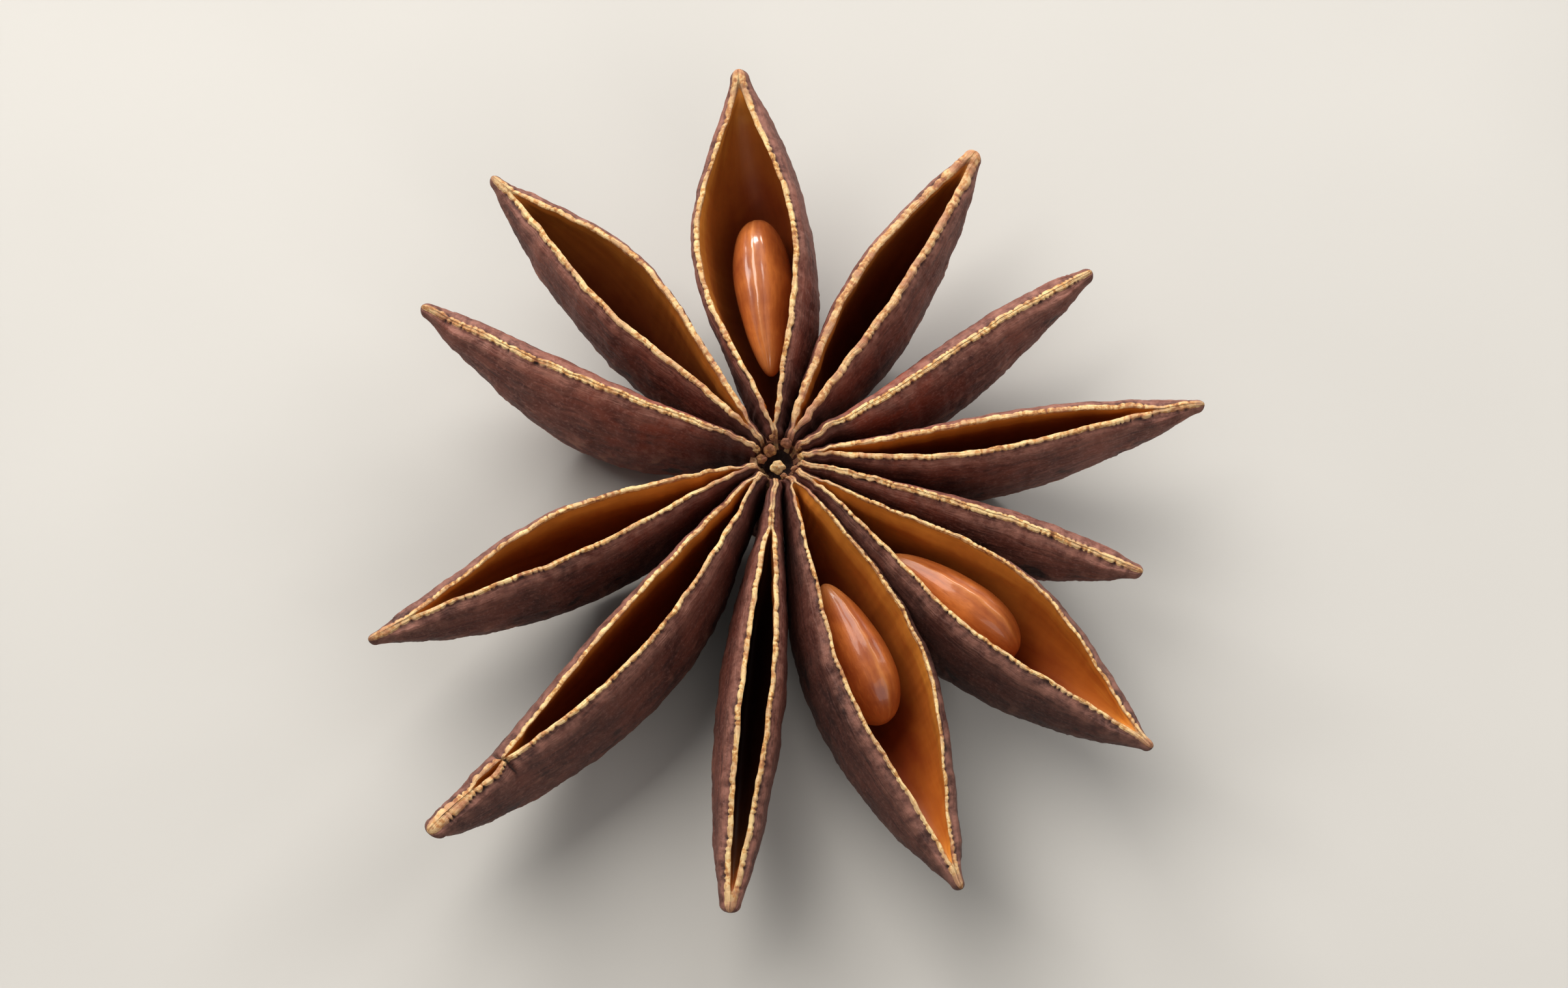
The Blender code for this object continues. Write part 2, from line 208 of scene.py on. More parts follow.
@dataclass(frozen=True)
class CarpelPlan:
    """The sizes of one arm of the star, the same ones that its solid is made from, and its finish.

    Lengths are in millimetres, angles in degrees, and places along it are shares of its length.
    """

    name: str
    azimuth: float
    reach: float
    rise: float
    gape: float
    gape_at: float
    bow: float
    girth: float
    lean: float
    clear: float
    blunt: float
    opens_at: float = 0.04
    closes_at: float = 1.0
    widening: float = 1.2
    narrowing: float = 1.2
    bow_at: float = 0.5
    sway: float = 0.0
    room: float = 1.0
    beak: float = 1.05
    seed_at: float = 0.0
    seed_aside: float = 0.0
    seed_length: float = 7.8
    seed_turn: float = 0.0
    seed_gloss: float = 0.35
    hook: float = 0.15
    rim: float = 0.2
    blush: float = 0.25
    # How much painted light, rather than painted shade, the hollow's lining gets.
    painted_glow: float = 0.6
    rust: float = 0.3
    # How far painted shade darkens this arm's whole skin.
    dusk_shade: float = 0.1
    tip_rim: float = 0.15
    crack_at: float = 0.0
    crack_to: float = 0.9


PLANS = (
    CarpelPlan("carpel_right", 6.2, 20.4, 0.4, 1.4, 0.47, -0.35, 3.0, 3, -0.2, 0.7, closes_at=0.93,
               sway=0.22, hook=0.35, rim=0.22, blush=0.45),
    CarpelPlan("carpel_right_upper", 31.8, 17.8, -0.4, 0.0, 0.5, -0.2, 2.8, 2, 0.5, 0.9, sway=0.22,
               rust=0.6),
    CarpelPlan("carpel_upper_right", 58.1, 18.2, 0.0, 1.9, 0.5, 0.4, 3.9, 0, 0.3, 1.2,
               widening=0.9, narrowing=0.95, rim=0.36, blush=0.8, painted_glow=0.45, tip_rim=0.42),
    CarpelPlan("carpel_top", 95.7, 19.7, 0.6, 4.7, 0.53, 0.5, 5.2, 9, -0.2, 1.2,
               widening=0.95, narrowing=1.45, seed_at=0.435, seed_aside=-0.1, seed_length=8.6,
               seed_gloss=1.0, rim=0.23, painted_glow=0.68, tip_rim=0.32),
    CarpelPlan("carpel_upper_left", 134.4, 19.9, 0.0, 2.9, 0.52, -0.6, 3.9, -3, 0.35, 0.7,
               closes_at=0.98, widening=1.15, narrowing=1.5, bow_at=0.6, rim=0.24, blush=0.4, painted_glow=0.45),
    CarpelPlan("carpel_left_upper", 156.3, 18.7, -0.4, 0.0, 0.5, 0.45, 3.4, -6, -0.2, 0.9, hook=0.3,
               rust=0.45, dusk_shade=0.0),
    CarpelPlan("carpel_left_lower", 205.7, 21.3, -0.4, 2.4, 0.43, -0.55, 3.5, -3, 0.4, 0.6,
               closes_at=0.95, widening=1.3, narrowing=1.7, rim=0.17, rust=0.5, dusk_shade=0.35),
    CarpelPlan("carpel_lower_left", 228.6, 24.4, -1.2, 1.95, 0.42, 0.85, 4.1, -11, -0.2, 1.6,
               closes_at=0.82, widening=0.75, narrowing=1.0, beak=0.7, room=1.15, rim=0.19,
               dusk_shade=0.4, tip_rim=0.3, crack_at=0.815),
    CarpelPlan("carpel_bottom", 264.2, 21.9, -2.2, 1.25, 0.5, 0.2, 3.2, 4, 0.6, 1.3,
               opens_at=0.15, widening=0.8, narrowing=0.8, beak=0.9, painted_glow=0.14, dusk_shade=0.25, tip_rim=0.22),
    CarpelPlan("carpel_lower_right", 292.1, 22.6, -1.4, 4.2, 0.47, 0.65, 5.3, 10, -0.2, 0.7,
               widening=0.75, narrowing=1.55, bow_at=0.4, room=1.2, seed_at=0.425, seed_length=7.4,
               seed_turn=4, rim=0.13, painted_glow=0.85, dusk_shade=0.6),
    CarpelPlan("carpel_right_lower", 320.8, 22.6, -1.0, 4.2, 0.5, 0.75, 5.35, 9, -0.2, 0.6,
               widening=1.4, narrowing=1.4, bow_at=0.55, seed_at=0.465, seed_aside=-0.05, seed_turn=4,
               rim=0.13, painted_glow=0.8, rust=0.5, dusk_shade=0.65),
    CarpelPlan("carpel_right_closed", 341.7, 18.1, -0.9, 0.0, 0.5, 0.25, 2.8, 3, 0.3, 0.9, bow_at=0.65,
               rust=0.55, dusk_shade=0.2),
)


# Places from the column's middle, heights and radii in millimetres, then paleness and pinkness.
KNOBS = (
    (-0.02, -0.46, 6.95, 0.34, 0.95, 0.0),
    (-0.4, 0.42, 6.95, 0.32, 0.15, 0.2),
    (-0.78, 0.0, 6.9, 0.24, 0.0, 0.7),
    (0.42, 0.78, 7.0, 0.27, 0.0, 0.9),
    (0.3, -0.95, 7.05, 0.17, 0.3, 0.8),
    (1.0, 0.5, 7.1, 0.18, 0.4, 0.8),
    (1.15, 0.0, 7.2, 0.2, 0.9, 0.0),
    (-1.05, 0.4, 7.2, 0.19, 0.7, 0.3),
    (-0.25, 1.02, 7.2, 0.17, 0.5, 0.6),
    (0.85, -0.6, 7.1, 0.2, 0.1, 0.9),
)


class Nodes:
    """A hand for wiring one material's nodes."""

    def __init__(self, name: str) -> None:
        """Starts an empty material with a Principled shader.

        Args:
            name: The material's name.
        """
        self.material = bpy.data.materials.new(name)
        self.material.use_nodes = True
        self.tree = self.material.node_tree
        self.shader = self.tree.nodes["Principled BSDF"]
        self.place = self.add("TexCoord").outputs["Object"]

    def put(self, socket: Socket, value: object) -> None:
        """Fills one input.

        Args:
            socket: The input.
            value: Another socket, a plain value, or a colour as six hexadecimal digits.
        """
        if isinstance(value, Socket):
            self.tree.links.new(value, socket)
        else:
            socket.default_value = shade(value) if isinstance(value, str) else value

    def fill(self, node: bpy.types.Node, inputs: dict[str, object]) -> bpy.types.Node:
        """Fills a node's inputs, named with _ for a space, and hands the node back."""
        for name, value in inputs.items():
            self.put(node.inputs[name.replace("_", " ")], value)
        return node

    def add(self, kind: str, **inputs: object) -> bpy.types.Node:
        """Adds a shader node of this kind with these inputs."""
        return self.fill(self.tree.nodes.new(f"ShaderNode{kind}"), inputs)

    def attribute(self, name: str) -> Socket:
        """Reads one of the piece's own vertex values."""
        node = self.add("Attribute")
        node.attribute_name = name
        return node.outputs["Fac"]

    def stretched(self, along: float, across: float) -> Socket:
        """Gives the surface's own coordinates, with so many repeats along it and across it."""
        surface = self.add("UVMap").outputs["UV"]
        return self.add("Mapping", Vector=surface, Scale=(across, along, 1.0)).outputs["Vector"]

    def noise(
        self, size_mm: float, detail: float = 4.0, vector: Socket | None = None, distortion: float = 0.0
    ) -> Socket:
        """Adds a noise.

        Args:
            size_mm: Its grain in millimetres, or in the vector's own unit where one is given.
            detail: How many finer layers it has.
            vector: The coordinates, or None for the object's own.
            distortion: How far it is warped.

        Returns:
            The factor socket.
        """
        scale = 1.0 / size_mm if vector else 1.0 / (size_mm * MM)
        node = self.add("TexNoise", Vector=vector or self.place, Scale=scale, Detail=detail,
                        Roughness=0.55, Distortion=distortion)
        return node.outputs["Fac"]

    def math(self, kind: str, *terms: object) -> Socket:
        """Adds one sum.

        Args:
            kind: The sum that is done.
            terms: Its terms, each a socket or a number.

        Returns:
            The result's socket.
        """
        node = self.add("Math")
        node.operation = kind
        for socket, value in zip(node.inputs, terms):
            self.put(socket, value)
        return node.outputs["Value"]

    def times(self, first: object, second: object, plus: object = 0.0) -> Socket:
        """Multiplies two values and adds a third."""
        return self.math("MULTIPLY_ADD", first, second, plus)

    def between(self, value: object, low: float, high: float) -> Socket:
        """Eases a value to 0 at one limit and 1 at the other."""
        node = self.add("MapRange", Value=value, From_Min=low, From_Max=high)
        node.interpolation_type = "SMOOTHSTEP"
        return node.outputs["Result"]

    def ramp(self, factor: object, stops: tuple[tuple[float, str], ...]) -> Socket:
        """Adds a colour ramp.

        Args:
            factor: What it is read by.
            stops: Pairs of a place from 0 to 1 and a colour.

        Returns:
            The colour socket.
        """
        node = self.add("ValToRGB", Fac=factor)
        elements = node.color_ramp.elements
        while len(elements) < len(stops):
            elements.new(0.5)
        for element, (position, code) in zip(elements, stops):
            element.position = position
            element.color = shade(code)
        return node.outputs["Color"]

    def mix(self, factor: object, first: object, second: object, kind: str = "RGBA") -> Socket:
        """Blends two colours or two vectors.

        Args:
            factor: The share of the second one.
            first: The first one.
            second: The second one.
            kind: RGBA for colours, VECTOR for vectors.

        Returns:
            The blend's socket.
        """
        node = self.add("Mix")
        node.data_type = kind
        start, result = (6, 2) if kind == "RGBA" else (4, 1)
        for index, value in ((0, factor), (start, first), (start + 1, second)):
            self.put(node.inputs[index], value)
        return node.outputs[result]

    def bump(self, height: object, depth_mm: float, under: Socket | None = None) -> Socket:
        """Adds a bump.

        Args:
            height: The height from 0 to 1.
            depth_mm: How deep it is at full strength.
            under: The normal that it is laid over.

        Returns:
            The normal socket.
        """
        node = self.add("Bump", Strength=1.0, Distance=depth_mm * MM, Height=height)
        if under:
            self.put(node.inputs["Normal"], under)
        return node.outputs["Normal"]

    def finish(self, **inputs: object) -> bpy.types.Material:
        """Fills the shader's inputs and hands over the material."""
        self.fill(self.shader, inputs)
        return self.material


@dataclass(frozen=True)
class HuskFinish:
    """The carpel's three faces in one material: dry skin, pale torn lips and a satin hollow."""

    plum: str = "371713"
    mauve: str = "7a4537"
    bloom: str = "a37064"
    rust: str = "8a381f"
    crest: str = "a8705c"
    painted_shade: str = "1a0c0a"
    border: str = "ab7564"
    pit: str = "24100b"
    cream: str = "fcdc9e"
    straw: str = "d39a54"
    tan: str = "86502a"
    salmon: str = "a86e56"
    amber: str = "df943a"
    russet: str = "bd6a26"
    umber: str = "903f18"
    deep_shade: str = "4e1f0e"
    shadow: str = "30160c"
    depths: str = "1e100a"

    def skin(self, nodes: Nodes) -> Socket:
        """Builds the colour of the outer skin, with painted highlights on the fold crests and painted shade
        in the creases.

        Args:
            nodes: The material's nodes.

        Returns:
            The colour socket.
        """
        broad = nodes.noise(3.2, 3.0, distortion=0.6)
        fibre = nodes.noise(1.0, 4.0, nodes.stretched(along=13.0, across=75.0), distortion=0.5)
        broad = nodes.times(fibre, 0.55, nodes.times(broad, 0.45))
        colour = nodes.ramp(broad, ((0.38, self.plum), (0.61, self.mauve)))
        patch = nodes.between(nodes.noise(2.1, 3.0, distortion=0.8), 0.36, 0.64)
        reddened = nodes.times(nodes.times(patch, 0.8, 0.2), nodes.attribute("rust"))
        colour = nodes.mix(reddened, colour, self.rust)
        dust = nodes.between(nodes.noise(0.16, 2.0), 0.5, 0.72)
        colour = nodes.mix(nodes.times(dust, 0.4), colour, self.bloom)
        # Painted highlight: the crests of the folds are lightened to a pale tan, in patches.
        crest = nodes.between(nodes.attribute("crest"), 0.55, 0.95)
        crest_highlight = nodes.times(crest, nodes.between(nodes.noise(0.7), 0.4, 0.62))
        colour = nodes.mix(nodes.times(crest_highlight, 0.75), colour, self.crest)
        # Painted shade: the troughs between the folds are darkened almost to black.
        painted_shade = nodes.between(nodes.attribute("crest"), 0.34, 0.1)
        colour = nodes.mix(nodes.times(painted_shade, 0.75), colour, self.painted_shade)
        # Painted shade: whole arms, and the skin close to the column, are darkened toward near black.
        colour = nodes.mix(nodes.attribute("dusk_shade"), colour, self.painted_shade)
        edge = nodes.times(nodes.attribute("border"), nodes.between(nodes.noise(0.6), 0.3, 0.7))
        return nodes.mix(nodes.times(edge, 0.7), colour, self.border)

    def hollow(self, nodes: Nodes) -> Socket:
        """Builds the colour of the hollow's satin lining: its own amber, with painted shade that darkens it
        deeper down and painted light that differs from arm to arm.

        Args:
            nodes: The material's nodes.

        Returns:
            The colour socket.
        """
        streak = nodes.noise(1.0, 4.0, nodes.stretched(along=5.0, across=55.0), distortion=0.4)
        blotch = nodes.noise(1.7, 3.0, distortion=0.5)
        down = nodes.times(streak, 0.3, nodes.attribute("depth"))
        down = nodes.times(blotch, 0.3, nodes.math("SUBTRACT", down, 0.3))
        # Painted light and shade: the lining darkens toward the hollow's floor, and each arm's value mixes a
        # lit copy of these colours with a shaded copy.
        lit_lining = nodes.ramp(
            down, ((0.0, self.amber), (0.24, self.russet), (0.62, self.umber), (1.0, self.deep_shade))
        )
        shaded_lining = nodes.ramp(down, ((0.0, self.umber), (0.1, self.deep_shade), (0.35, self.shadow), (0.8, self.depths)))
        return nodes.mix(nodes.attribute("painted_glow"), shaded_lining, lit_lining)

    def lips(self, nodes: Nodes) -> Socket:
        """Builds the colour of the pale fibrous lips, pinker near the column.

        Args:
            nodes: The material's nodes.

        Returns:
            The colour socket.
        """
        fibre = nodes.times(nodes.between(nodes.noise(0.2), 0.36, 0.62), 0.36)
        fibre = nodes.times(nodes.between(nodes.noise(1.2, 2.0), 0.38, 0.6), 0.24, fibre)
        # Partly the fibre's own pale colour and partly a painted highlight: the beads are lighter than the
        # gaps between them.
        tone = nodes.times(nodes.attribute("bead"), 0.4, fibre)
        colour = nodes.ramp(tone, ((0.28, self.tan), (0.52, self.straw), (0.76, self.cream)))
        root = nodes.attribute("root")
        pink = nodes.times(nodes.between(nodes.noise(0.8), 0.4, 0.6), nodes.times(root, 0.6, 0.35))
        return nodes.mix(nodes.math("MAXIMUM", pink, nodes.times(root, 0.55)), colour, self.salmon)

    def build(self) -> bpy.types.Material:
        """Builds the whole material."""
        nodes = Nodes("star_anise_husk")
        lip, hollow, pit = (nodes.attribute(name) for name in ("lip", "hollow", "pit"))
        colour = nodes.mix(hollow, self.skin(nodes), self.hollow(nodes))
        # Painted shade: the pits between the beads are darkened almost to black.
        colour = nodes.mix(pit, colour, self.pit)
        torn = nodes.between(nodes.times(nodes.noise(0.2, 2.0), 0.4, lip), 0.55, 0.85)
        colour = nodes.mix(nodes.times(torn, nodes.math("SUBTRACT", 1.0, pit)), colour, self.lips(nodes))
        # Painted shade: the split across one arm and the dimple on the column are darkened almost to black.
        colour = nodes.mix(nodes.attribute("recess_shade"), colour, self.painted_shade)
        rough = nodes.times(hollow, -0.18, nodes.times(lip, 0.1, 0.58))
        wrinkles = nodes.noise(1.0, 4.0, nodes.stretched(along=10.0, across=60.0), distortion=0.8)
        pores = nodes.bump(nodes.noise(0.11, 3.0), 0.018)
        fine = nodes.bump(wrinkles, 0.09, nodes.bump(nodes.noise(0.42, 5.0, distortion=0.5), 0.05, pores))
        lining = nodes.bump(nodes.noise(1.0, 3.0, nodes.stretched(along=4.0, across=110.0)), 0.02)
        return nodes.finish(
            Base_Color=colour,
            Roughness=nodes.times(nodes.noise(0.5, 3.0), 0.16, rough),
            Normal=nodes.mix(hollow, fine, lining, "VECTOR"),
            Specular_IOR_Level=nodes.times(hollow, -0.17, 0.42),
        )


@dataclass(frozen=True)
class SeedFinish:
    """A glossy seed coat, golden along its ridge and finely streaked along its length."""

    chestnut: str = "ab5b27"
    russet: str = "8e421c"
    orange: str = "c87434"
    golden: str = "e39c58"
    groove: str = "7a3414"

    def build(self) -> bpy.types.Material:
        """Builds the material."""
        nodes = Nodes("star_anise_seed")
        broad = nodes.noise(2.4, 3.0, distortion=0.4)
        colour = nodes.ramp(broad, ((0.3, self.russet), (0.52, self.chestnut), (0.75, self.orange)))
        streak = nodes.noise(1.0, 4.0, nodes.stretched(along=14.0, across=60.0), distortion=0.3)
        light = nodes.times(nodes.between(streak, 0.5, 0.72), 0.35)
        dark = nodes.times(nodes.between(streak, 0.5, 0.3), 0.4)
        colour = nodes.mix(dark, nodes.mix(light, colour, self.orange), self.russet)
        # Painted shade: a darker line along the furrow beside the ridge.
        colour = nodes.mix(nodes.attribute("furrow"), colour, self.groove)
        return nodes.finish(
            Base_Color=nodes.mix(nodes.attribute("ridge"), colour, self.golden),
            Roughness=nodes.times(streak, 0.2, 0.36),
            Normal=nodes.bump(streak, 0.012, nodes.bump(nodes.noise(0.6, 3.0), 0.03)),
            Specular_IOR_Level=0.4,
            Coat_Weight=nodes.attribute("gloss"),
            Coat_IOR=1.65,
            Coat_Roughness=0.12,
        )


@dataclass(frozen=True)
class FloorFinish:
    """A plain pale matt tabletop."""

    colour: str = "bfbdb9"
    lighter: str = "c4c2be"

    def build(self) -> bpy.types.Material:
        """Builds the material."""
        nodes = Nodes("pale_tabletop")
        tone = nodes.ramp(nodes.noise(30.0, 2.0), ((0.3, self.colour), (0.7, self.lighter)))
        return nodes.finish(Base_Color=tone, Roughness=0.85, Normal=nodes.bump(nodes.noise(0.8, 2.0), 0.004))


class Slot(Enum):
    """The record's material slots."""

    HUSK = "husk"
    SEED = "seed"


# The vertex values that each slot's finish reads.
VERTEX_VALUES = {
    Slot.HUSK: ("lip", "hollow", "depth", "border", "pit", "bead", "crest", "recess_shade", "root", "painted_glow",
                "rust", "dusk_shade"),
    Slot.SEED: ("ridge", "furrow", "gloss"),
}


def skinned(
    name: str, places: Array, values: dict[str, Array | float], material: bpy.types.Material,
    node: str = "husk", slot: Slot = Slot.HUSK,
) -> bpy.types.Object:
    """Args:
        name: The piece's name.
        places: Rows of points in millimetres, whose last column falls on the first. The first and
            last rows are each one point.
        values: Vertex values by name. One that the finish reads and that isn't here is 0.
        material: The finish.
        node: The node of the frame that it stands for.
        slot: The record's material slot.

    Returns:
        The finished object.
    """
    rows, columns = places.shape[:2]
    places[:, -1] = places[:, 0]
    bpy.ops.object.select_all(action="DESELECT")
    bpy.ops.mesh.primitive_grid_add(x_subdivisions=columns - 1, y_subdivisions=rows - 1, size=2 * MM)
    piece = bpy.context.active_object
    piece.name = name
    piece.data.name = name
    mesh = piece.data
    mesh.vertices.foreach_set("co", (places * MM).astype(np.float32).ravel())
    for key in VERTEX_VALUES[slot]:
        layer = mesh.attributes.new(key, "FLOAT", "POINT")
        value = np.broadcast_to(values.get(key, 0.0), (rows, columns))
        layer.data.foreach_set("value", value.astype(np.float32).ravel())
    mesh.materials.append(material)
    bpy.ops.object.mode_set(mode="EDIT")
    bpy.ops.mesh.select_all(action="SELECT")
    bpy.ops.mesh.remove_doubles(threshold=0.0004 * MM)
    bpy.ops.mesh.normals_make_consistent(inside=False)
    bpy.ops.object.mode_set(mode="OBJECT")
    bpy.ops.object.shade_smooth()
    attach(piece, "root")
    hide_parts(node)
    return piece


def hump(share: Array, rise: float, fall: float) -> Array:
    """Gives a hump from 0 to 1 and back to 0 over the shares from 0 to 1.

    Args:
        share: The shares.
        rise: How steeply it starts: less is steeper.
        fall: How steeply it ends.

    Returns:
        The heights.
    """
    peak = rise / (rise + fall)
    return share**rise * (1.0 - share) ** fall / (peak**rise * (1.0 - peak) ** fall)


@dataclass(frozen=True)
class Cut:
    """The sizes of a carpel's sections in millimetres, one row for each section."""

    t: Array
    out: Array
    full: Array
    girth: Array
    inner: Array
    lip: Array
    wide_lip: Array
    hollow_depth: Array
    opened: Array
    parted: Array
    bowed: Array
    beaded: Array

    def band(self, v: Array) -> Array:
        """Gives the height of the one round band that both lips make where the seam is shut."""
        half = self.inner + self.lip
        return 0.6 * half * np.sqrt(np.clip(1.0 - (v / half) ** 2, 0.0, 1.0)) * (1.0 - self.parted)

    def aside(self, down: Array) -> Array:
        """Gives how far aside the section's middle line is at each depth."""
        return self.bowed * (1.0 - down / self.full)


@dataclass(frozen=True)
class Strip:
    """A lengthwise strip of a carpel's skin: places in the sections' planes and vertex values."""

    v: Array
    w: Array
    bead: Array
    lip: Array | float = 0.0
    hollow: Array | float = 0.0
    depth: Array | float = 0.0
    border: Array | float = 0.0
    pit: Array | float = 0.0
    fold: Array | float = 0.0
    outer: float = 0.0

    def spread(self, name: str) -> Array:
        """Gives one of the values at every point."""
        return np.broadcast_to(getattr(self, name), self.v.shape)

    def turned(self, drop: int = 0) -> "Strip":
        """Turns the strip's columns about, and leaves out the first ones of the result."""
        return Strip(**{item.name: self.spread(item.name)[:, ::-1][:, drop:] for item in fields(self)})


@dataclass
class Carpel:
    """One boat-shaped arm, built as one closed skin: flanks, lips and hollow."""

    plan: CarpelPlan
    finish: bpy.types.Material
    seed: int = 1
    step: float = 0.075
    flank_columns: int = 30
    lip_columns: int = 5
    hollow_columns: int = 14
    nose_rows: int = 6
    closed_lip: float = 0.1
    root_lip: float = 0.12
    bead_pitch: float = 0.4
    bead_reach: float = 0.045
    bead_rise: float = 0.02
    pit_at: float = 0.09
    pit_width: float = 0.07
    pit_depth: float = 0.07
    fold_height: float = 0.1
    pucker_height: float = 0.08
    split: float = 0.13
    crack_depth: float = 0.28
    crack_width: float = 0.0035
    nose_lip: float = 0.6

    def crowding(self) -> float:
        """Gives how wide this carpel may be for each millimetre out, which its neighbours settle."""
        shares = []
        for other in PLANS:
            turn = abs((other.azimuth - self.plan.azimuth + 180.0) % 360.0 - 180.0)
            if other is not self.plan and turn < NEIGHBOUR_WITHIN:
                shares.append(turn * self.plan.girth / (self.plan.girth + other.girth))
        return self.plan.room * math.tan(math.radians(min(shares)))

    def out(self, t: Array | float) -> Array | float:
        """Gives the distance from the column's middle line at shares of the length."""
        return ROOT_RADIUS + (self.plan.reach - ROOT_RADIUS) * t

    def opening(self, t: Array) -> Array:
        """Gives half the clear width between the lips.

        Args:
            t: Shares of the length.

        Returns:
            The half widths in millimetres.
        """
        plan = self.plan
        if plan.gape == 0.0:
            return np.zeros_like(t)
        share = np.clip((t - plan.opens_at) / (plan.closes_at - plan.opens_at), 0.0, 1.0)
        peak = (plan.gape_at - plan.opens_at) / (plan.closes_at - plan.opens_at)
        power = math.log(0.5) / math.log(peak)
        wave = np.clip(np.sin(math.pi * share**power), 0.0, 1.0)
        half = plan.gape / 2.0 * wave ** np.where(share < peak, plan.widening, plan.narrowing)
        if plan.crack_at:
            torn = np.clip((t - plan.crack_at) / (plan.crack_to - plan.crack_at), 0.0, 1.0)
            half = half + self.split * np.sin(math.pi * torn) ** 0.6
        return half

    def seam_height(self, t: Array) -> Array:
        """Gives the height of the seam over the ground.

        Args:
            t: Shares of the length.

        Returns:
            The heights in millimetres.
        """
        far = t * self.plan.reach
        dip = SEAM_DIP * np.exp(-((far / SEAM_DIP_REACH) ** 2)) + ROOT_DIP * smooth(ROOT_DIP_REACH, 0.0, far)
        beak = self.plan.hook * smooth(0.92, 1.0, t)
        return SEAM_TOP - dip + SEAM_ARCH * np.sin(math.pi * t) + self.plan.rise * t**2.5 + beak

    def depth(self, t: Array) -> Array:
        """Gives the depth of the keel under the seam.

        Args:
            t: Shares of the length.

        Returns:
            The depths in millimetres.
        """
        plan = self.plan
        seam = SEAM_TOP + SEAM_ARCH * math.sin(math.pi * KEEL_AT) + plan.rise * KEEL_AT**2.5
        full = (seam - plan.clear) / math.cos(math.radians(plan.lean))
        before = np.minimum(t / KEEL_AT, 1.0)
        past = np.clip((t - KEEL_AT) / (1.0 - KEEL_AT), 0.0, 1.0)
        root = ROOT_DEPTH_SHARE + (1.0 - ROOT_DEPTH_SHARE) * np.sin(math.pi / 2.0 * before)
        return TIP_DEPTH + (full - TIP_DEPTH) * root * (1.0 - past**BEAK_FROM) ** plan.beak

    def half_girth(self, t: Array) -> Array:
        """Gives half the bulge of the flanks beyond the lips, at shares of the length."""
        splay = self.opening(t) / 2.0
        stout = np.maximum(self.plan.girth / 2.0 - LIP / 2.0 - splay, LEAST_GIRTH)
        return 0.1 + stout * hump(t, *SWELL) + self.plan.blunt / 5.0 * t**4

    def squeeze(self, t: Array) -> Array:
        """Gives the share to which the neighbours narrow the carpel close to the column."""
        edge = self.opening(t) + LIP
        natural = np.maximum(edge, 0.58 * edge + self.half_girth(t) + 0.5 * WRINKLE)
        room = (self.out(t) * self.crowding() + CROWD_ROOM) / natural
        return (1.0 + room**-CROWD_EASE) ** (-1.0 / CROWD_EASE)

    def bowed(self, t: Array) -> Array:
        """Gives how far aside the seam runs from the line over the keel."""
        power = math.log(0.5) / math.log(self.plan.bow_at)
        arch = np.sin(math.pi * np.minimum(t, 0.999) ** power) ** 1.2
        return self.plan.bow * arch - self.plan.sway * np.sin(2.0 * math.pi * t)

    def pits(self, cut: Cut, side: int) -> Array:
        """Gives the small pits between the beads along one lip.

        Args:
            cut: The sizes of the sections.
            side: 1 for the left lip, -1 for the right one.

        Returns:
            Depths from 0 on a bead to 1 in a pit.
        """
        grain = Grain(self.seed * 7 + side)
        line = np.stack([cut.out * 0.9, np.full_like(cut.out, side * 3.7), 0.0 * cut.out], axis=-1)
        phase = cut.out / self.bead_pitch + 1.6 * grain.at(line * 0.8) + 0.5 * grain.at(line * 2.6 + 4.0)
        number = np.stack([np.floor(phase + 0.5) * 0.73, line[..., 1], line[..., 2]], axis=-1)
        strength = np.clip(0.65 + 1.2 * grain.at(number), 0.0, 1.0)
        pit = (1.0 - np.abs(np.cos(math.pi * phase)) ** 0.55) * strength
        return pit * smooth(0.02, 0.12, cut.t) * smooth(1.0, 0.97, cut.t)

    def flank(self, cut: Cut, side: int) -> Strip:
        """Lays out one flank, from the lip down to the keel, with its points crowded near the lip.

        Args:
            cut: The sizes of the sections.
            side: 1 for the left one, -1 for the right one.

        Returns:
            The strip.
        """
        q = np.linspace(0.0, 1.0, self.flank_columns)[None, :] ** 1.9
        pit = self.pits(cut, side)
        down = q * cut.full
        v = (cut.inner + cut.lip + (cut.wide_lip - cut.lip) * smooth(0.0, 0.07, q)) * (1.0 - q)
        v = v + cut.girth * hump(q, *BULGE)
        v = v + self.bead_reach * (1.0 - 1.4 * pit) * cut.beaded * smooth(0.32, 0.04, down)
        gone = np.hypot(np.diff(v, axis=1, prepend=v[:, :1]), np.diff(down, axis=1, prepend=down[:, :1]))
        gone = np.cumsum(gone, axis=1)
        hole = pit * cut.beaded * np.exp(-(((gone - self.pit_at) / self.pit_width) ** 2))
        return Strip(
            v=side * (v - self.pit_depth * hole) + cut.aside(down), w=-down - 0.05 * hole, bead=1.0 - pit,
            lip=smooth(0.08, 0.01, gone + 0.12 * pit), depth=q, border=np.exp(-((gone / 0.75) ** 2)),
            pit=np.clip(1.6 * hole, 0.0, 1.0), fold=smooth(0.08, 0.55, q), outer=1.0,
        )

    def crest(self, cut: Cut, side: int) -> Strip:
        """Lays out one lip's round crest, from its outer side to its inner one."""
        turn = np.linspace(0.0, math.pi, self.lip_columns + 2)[None, 1:-1]
        pit = self.pits(cut, side)
        outer = smooth(-0.2, 1.0, np.cos(turn))
        over = cut.inner + cut.lip / 2.0 * (1.0 + np.cos(turn))
        v = over + self.bead_reach * (1.0 - 1.4 * pit) * cut.beaded * outer
        w = 0.36 * cut.lip * np.sin(turn) * cut.parted * (1.0 - 0.45 * pit)
        w = w + self.bead_rise * cut.beaded * (1.0 - pit) + cut.band(over) * (1.0 - 0.4 * pit)
        return Strip(side * v + cut.bowed, w, 1.0 - pit, lip=1.0, pit=0.35 * pit * outer, outer=1.0)

